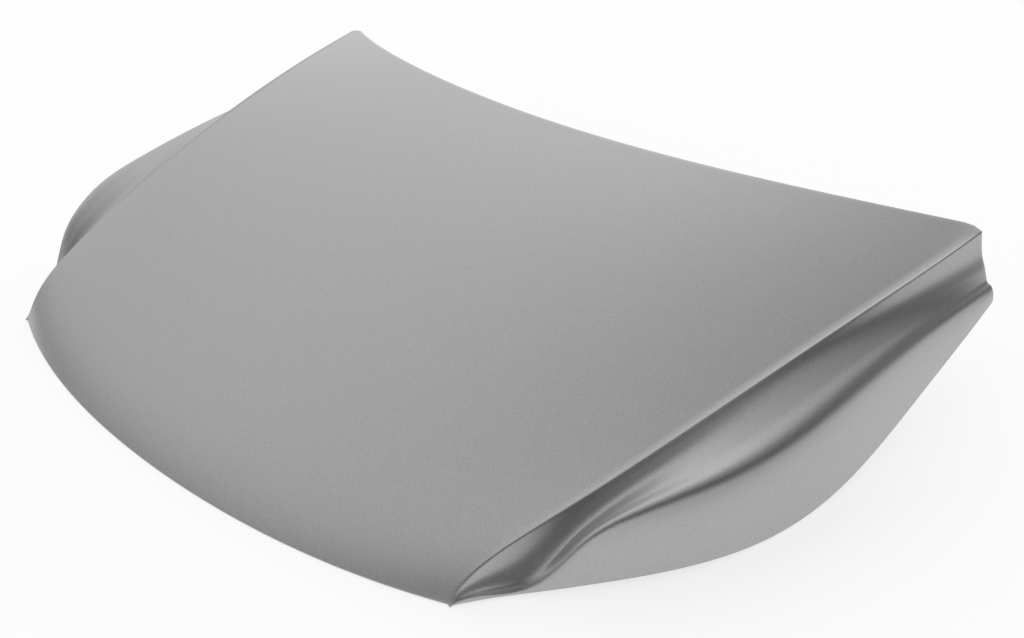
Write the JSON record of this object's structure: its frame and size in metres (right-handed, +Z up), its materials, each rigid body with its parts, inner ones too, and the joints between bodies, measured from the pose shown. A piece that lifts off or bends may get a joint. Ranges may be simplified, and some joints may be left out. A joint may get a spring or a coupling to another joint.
{
  "type": "car bonnet",
  "caption": "Clamshell car bonnet: crowned panel, creased sides with sculpted flanks, hollow windscreen edge; ribbed inner panel, hinge seats and striker below.",
  "frame": {"origin": "on the floor under the middle of the bounding box, with the bonnet lying outer side up on its front edge and the lower edges of its flanks", "axes": "+X to the car's left along the bonnet's width, +Y towards the windscreen, +Z up"},
  "size_m": [1.526, 1.0268, 0.2898],
  "materials": {
    "painted_skin": "satin silver metallic paint",
    "primed_steel": "thin satin silver coat over primer",
    "zinc_steel": "zinc plated",
    "mastic": "matt"
  },
  "bodies": {
    "root": {"outer_skin": "painted_skin", "inner_panel": "primed_steel", "hinge_reinforcement_left": "zinc_steel", "hinge_reinforcement_right": "zinc_steel", "hinge_weld_nut_left_front": "zinc_steel", "hinge_weld_nut_left_rear": "zinc_steel", "hinge_weld_nut_right_front": "zinc_steel", "hinge_weld_nut_right_rear": "zinc_steel", "latch_reinforcement": "zinc_steel", "mastic_pad_left_inner_front_far": "mastic", "mastic_pad_left_inner_front_near": "mastic", "mastic_pad_left_inner_rear_far": "mastic", "mastic_pad_left_inner_rear_near": "mastic", "mastic_pad_left_outer_front_far": "mastic", "mastic_pad_left_outer_front_near": "mastic", "mastic_pad_left_outer_rear_far": "mastic", "mastic_pad_left_outer_rear_near": "mastic", "mastic_pad_right_inner_front_far": "mastic", "mastic_pad_right_inner_front_near": "mastic", "mastic_pad_right_inner_rear_far": "mastic", "mastic_pad_right_inner_rear_near": "mastic", "mastic_pad_right_outer_front_far": "mastic", "mastic_pad_right_outer_front_near": "mastic", "mastic_pad_right_outer_rear_far": "mastic", "mastic_pad_right_outer_rear_near": "mastic", "striker_bolt_left": "zinc_steel", "striker_bolt_right": "zinc_steel", "striker_loop": "zinc_steel", "striker_plate": "zinc_steel", "striker_weld_nut_left": "zinc_steel", "striker_weld_nut_right": "zinc_steel"}
  },
  "joints": []
}
